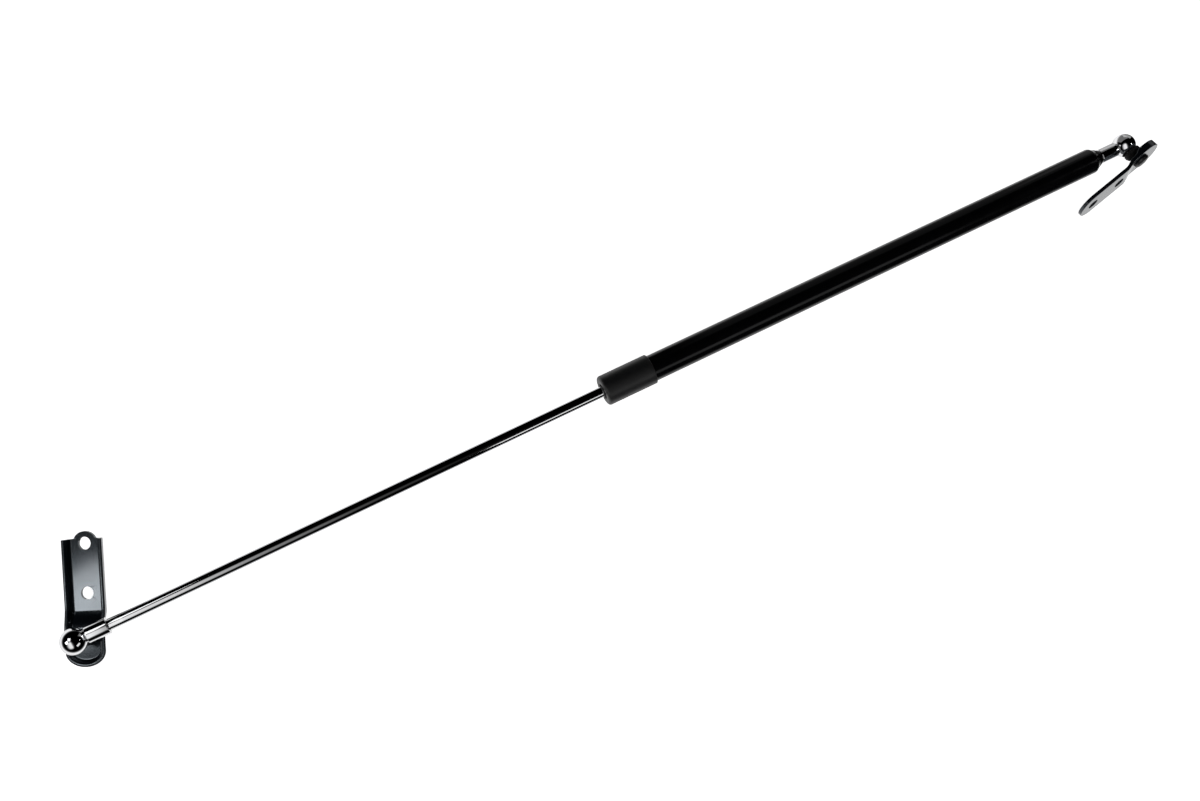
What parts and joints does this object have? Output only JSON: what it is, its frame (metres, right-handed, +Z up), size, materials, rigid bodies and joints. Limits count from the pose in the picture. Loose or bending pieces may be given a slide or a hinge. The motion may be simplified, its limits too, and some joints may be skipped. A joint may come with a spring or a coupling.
{
  "type": "gas strut stay",
  "caption": "Long gas spring stay: chromed rod sliding in a black tube, with a ball joint and a bolt-on steel bracket at each end.",
  "frame": {"origin": "bottom centre of the whole part, laid out at full length", "axes": "+X along the strut from the rod end to the tube end, +Z up"},
  "size_m": [0.8564, 0.096, 0.0374],
  "materials": {
    "chrome": "polished chrome plate",
    "black_paint": "satin gloss black paint",
    "black_plastic": "fine matte grain",
    "black_coat": "thin black dip coat over pressed steel",
    "stud_steel": "blackened steel",
    "rubber": "matte black",
    "seal_rubber": "matte",
    "acetal": "plain bearing plastic",
    "brass": "turned",
    "zinc": "zinc plated",
    "filled_plastic": "plain"
  },
  "bodies": {
    "cylinder": {"pressure_tube": "black_paint", "end_plug": "black_paint", "end_sleeve": "black_plastic", "retaining_ring": "zinc", "rod_guide": "brass", "guide_o_ring": "rubber", "rod_seal": "seal_rubber", "seal_washer": "zinc", "tube_socket": "chrome"},
    "piston_carrier": {"piston_ring": "filled_plastic"},
    "rod": {"piston_rod": "chrome", "piston_washer_front": "zinc", "piston": "brass", "piston_washer_rear": "zinc", "piston_nut": "zinc", "stroke_spacer": "acetal", "rod_socket": "chrome"},
    "rod_liner": {"rod_ball_liner": "acetal"},
    "rod_boot": {"rod_dust_seal": "rubber"},
    "rod_mount": {"rod_ball_stud": "stud_steel", "rod_bracket": "black_coat"},
    "tube_liner": {"tube_ball_liner": "acetal"},
    "tube_boot": {"tube_dust_seal": "rubber"},
    "tube_mount": {"tube_ball_stud": "stud_steel", "tube_bracket": "black_coat"}
  },
  "joints": [
    {"name": "rod_slide", "type": "slide", "parent": "cylinder", "child": "piston_carrier", "axis": [1, 0, 0], "range_m": [0, 0.34], "stiffness_N_per_m": 80, "springref_m": -1.25},
    {"name": "rod_spin", "type": "hinge", "parent": "piston_carrier", "child": "rod", "pos_m": [-0.2, -0.01791, 0.02373], "axis": [1, 0, 0], "continuous": true},
    {"name": "rod_swivel", "type": "hinge", "parent": "rod", "child": "rod_liner", "pos_m": [-0.41564, -0.01791, 0.02373], "axis": [0, -0.3221, 0.9467], "range_deg": [-20, 90]},
    {"name": "rod_tilt", "type": "hinge", "parent": "rod_liner", "child": "rod_boot", "pos_m": [-0.41564, -0.01791, 0.02373], "axis": [0, -0.9467, -0.3221], "range_deg": [-34.3, 4.6]},
    {"name": "rod_stud_spin", "type": "hinge", "parent": "rod_boot", "child": "rod_mount", "pos_m": [-0.41564, -0.01791, 0.02373], "axis": [-0.248, -0.312, 0.9171], "range_deg": [-5, 45]},
    {"name": "tube_swivel", "type": "hinge", "parent": "cylinder", "child": "tube_liner", "pos_m": [0.40936, -0.01791, 0.02373], "axis": [0, 0.9995, -0.0314], "range_deg": [-90, 90]},
    {"name": "tube_tilt", "type": "hinge", "parent": "tube_liner", "child": "tube_boot", "pos_m": [0.40936, -0.01791, 0.02373], "axis": [0, 0.0314, 0.9995], "range_deg": [-13.5, 10.4]},
    {"name": "tube_stud_spin", "type": "hinge", "parent": "tube_boot", "child": "tube_mount", "pos_m": [0.40936, -0.01791, 0.02373], "axis": [-0.1659, 0.9856, -0.031], "range_deg": [-20, 20]}
  ]
}
